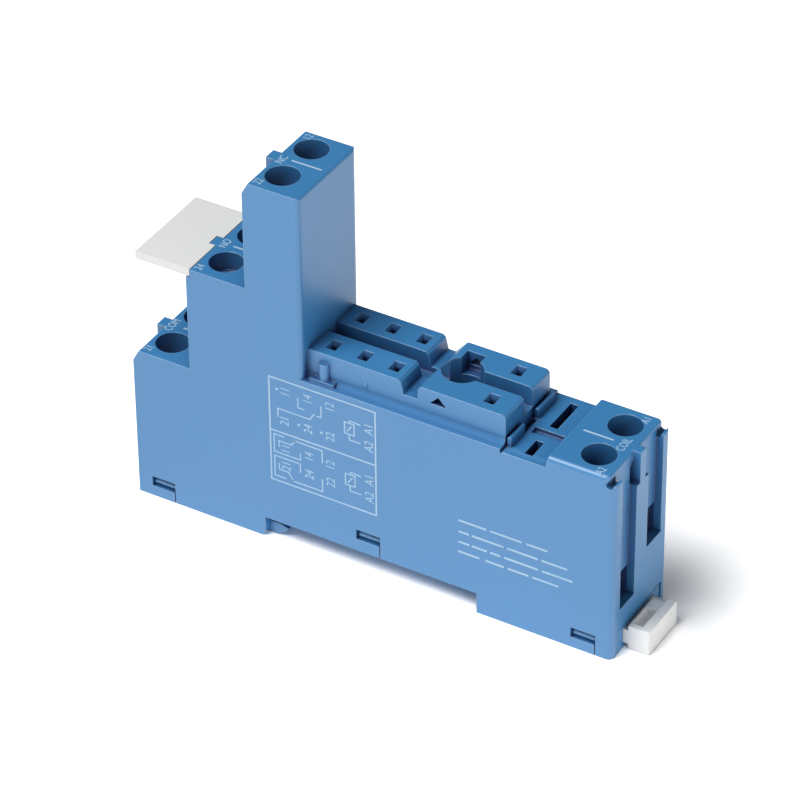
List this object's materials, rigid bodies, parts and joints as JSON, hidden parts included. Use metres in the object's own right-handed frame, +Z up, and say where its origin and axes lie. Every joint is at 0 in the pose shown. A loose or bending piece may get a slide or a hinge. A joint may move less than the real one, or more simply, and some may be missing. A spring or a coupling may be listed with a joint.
{
  "type": "relay socket",
  "caption": "Rail-mounted relay socket: stepped moulded housing with a plug-in contact seat, captive clamp screws, a marker plate and a sliding rail clip.",
  "frame": {"origin": "on the centre line of the 35 mm rail recess, at the level of the feet and half way across the width", "axes": "+X along the socket towards the rail clip, +Y across it away from the printed face, +Z up out of the rail"},
  "size_m": [0.0819, 0.0158, 0.06],
  "materials": {
    "blue_moulding": "satin moulded, blue",
    "white_moulding": "satin moulded, white",
    "zinc_plated_steel": "zinc plated",
    "tinned_brass": "tinned, stamped"
  },
  "bodies": {
    "housing": {"housing_shell": "blue_moulding", "base_closure": "blue_moulding", "contact_strip_11": "tinned_brass", "contact_strip_12": "tinned_brass", "contact_strip_14": "tinned_brass", "contact_strip_21": "tinned_brass", "contact_strip_22": "tinned_brass", "contact_strip_24": "tinned_brass", "contact_strip_a1": "tinned_brass", "contact_strip_a2": "tinned_brass"},
    "rail_clip": {"rail_clip": "white_moulding"},
    "marker_plate": {"marker_plate": "white_moulding"},
    "screw_11": {"terminal_screw_11": "zinc_plated_steel"},
    "cage_11": {"clamp_cage_11": "zinc_plated_steel"},
    "screw_12": {"terminal_screw_12": "zinc_plated_steel"},
    "cage_12": {"clamp_cage_12": "zinc_plated_steel"},
    "screw_14": {"terminal_screw_14": "zinc_plated_steel"},
    "cage_14": {"clamp_cage_14": "zinc_plated_steel"},
    "screw_21": {"terminal_screw_21": "zinc_plated_steel"},
    "cage_21": {"clamp_cage_21": "zinc_plated_steel"},
    "screw_22": {"terminal_screw_22": "zinc_plated_steel"},
    "cage_22": {"clamp_cage_22": "zinc_plated_steel"},
    "screw_24": {"terminal_screw_24": "zinc_plated_steel"},
    "cage_24": {"clamp_cage_24": "zinc_plated_steel"},
    "screw_a1": {"terminal_screw_a1": "zinc_plated_steel"},
    "cage_a1": {"clamp_cage_a1": "zinc_plated_steel"},
    "screw_a2": {"terminal_screw_a2": "zinc_plated_steel"},
    "cage_a2": {"clamp_cage_a2": "zinc_plated_steel"}
  },
  "joints": [
    {"name": "rail_clip_slide", "type": "slide", "parent": "housing", "child": "rail_clip", "axis": [1, 0, 0], "range_m": [0, 0.003], "stiffness_N_per_m": 1500, "springref_m": -0.001},
    {"name": "marker_plate_pull", "type": "slide", "parent": "housing", "child": "marker_plate", "axis": [-1, 0, 0], "range_m": [0, 0.006]},
    {"name": "screw_turn_11", "type": "hinge", "parent": "housing", "child": "screw_11", "pos_m": [-0.0343, 0.00375, 0], "axis": [0, 0, -1], "range_deg": [0, 2450]},
    {"name": "cage_lift_11", "type": "slide", "parent": "housing", "child": "cage_11", "axis": [0, 0, 1], "range_m": [0, 0.0034]},
    {"name": "screw_turn_12", "type": "hinge", "parent": "housing", "child": "screw_12", "pos_m": [-0.015, 0.00375, 0], "axis": [0, 0, -1], "range_deg": [0, 2450]},
    {"name": "cage_lift_12", "type": "slide", "parent": "housing", "child": "cage_12", "axis": [0, 0, 1], "range_m": [0, 0.0034]},
    {"name": "screw_turn_14", "type": "hinge", "parent": "housing", "child": "screw_14", "pos_m": [-0.0247, 0.00375, 0], "axis": [0, 0, -1], "range_deg": [0, 2450]},
    {"name": "cage_lift_14", "type": "slide", "parent": "housing", "child": "cage_14", "axis": [0, 0, 1], "range_m": [0, 0.0034]},
    {"name": "screw_turn_21", "type": "hinge", "parent": "housing", "child": "screw_21", "pos_m": [-0.0343, -0.00375, 0], "axis": [0, 0, -1], "range_deg": [0, 2450]},
    {"name": "cage_lift_21", "type": "slide", "parent": "housing", "child": "cage_21", "axis": [0, 0, 1], "range_m": [0, 0.0034]},
    {"name": "screw_turn_22", "type": "hinge", "parent": "housing", "child": "screw_22", "pos_m": [-0.015, -0.00375, 0], "axis": [0, 0, -1], "range_deg": [0, 2450]},
    {"name": "cage_lift_22", "type": "slide", "parent": "housing", "child": "cage_22", "axis": [0, 0, 1], "range_m": [0, 0.0034]},
    {"name": "screw_turn_24", "type": "hinge", "parent": "housing", "child": "screw_24", "pos_m": [-0.0247, -0.00375, 0], "axis": [0, 0, -1], "range_deg": [0, 2450]},
    {"name": "cage_lift_24", "type": "slide", "parent": "housing", "child": "cage_24", "axis": [0, 0, 1], "range_m": [0, 0.0034]},
    {"name": "screw_turn_a1", "type": "hinge", "parent": "housing", "child": "screw_a1", "pos_m": [0.0344, 0.00375, 0], "axis": [0, 0, -1], "range_deg": [0, 2450]},
    {"name": "cage_lift_a1", "type": "slide", "parent": "housing", "child": "cage_a1", "axis": [0, 0, 1], "range_m": [0, 0.0034]},
    {"name": "screw_turn_a2", "type": "hinge", "parent": "housing", "child": "screw_a2", "pos_m": [0.0344, -0.00375, 0], "axis": [0, 0, -1], "range_deg": [0, 2450]},
    {"name": "cage_lift_a2", "type": "slide", "parent": "housing", "child": "cage_a2", "axis": [0, 0, 1], "range_m": [0, 0.0034]}
  ],
  "couplings": [
    {"joint": "screw_turn_11", "follows": "cage_lift_11", "rad_per_m": 12566},
    {"joint": "screw_turn_12", "follows": "cage_lift_12", "rad_per_m": 12566},
    {"joint": "screw_turn_14", "follows": "cage_lift_14", "rad_per_m": 12566},
    {"joint": "screw_turn_21", "follows": "cage_lift_21", "rad_per_m": 12566},
    {"joint": "screw_turn_22", "follows": "cage_lift_22", "rad_per_m": 12566},
    {"joint": "screw_turn_24", "follows": "cage_lift_24", "rad_per_m": 12566},
    {"joint": "screw_turn_a1", "follows": "cage_lift_a1", "rad_per_m": 12566},
    {"joint": "screw_turn_a2", "follows": "cage_lift_a2", "rad_per_m": 12566}
  ]
}
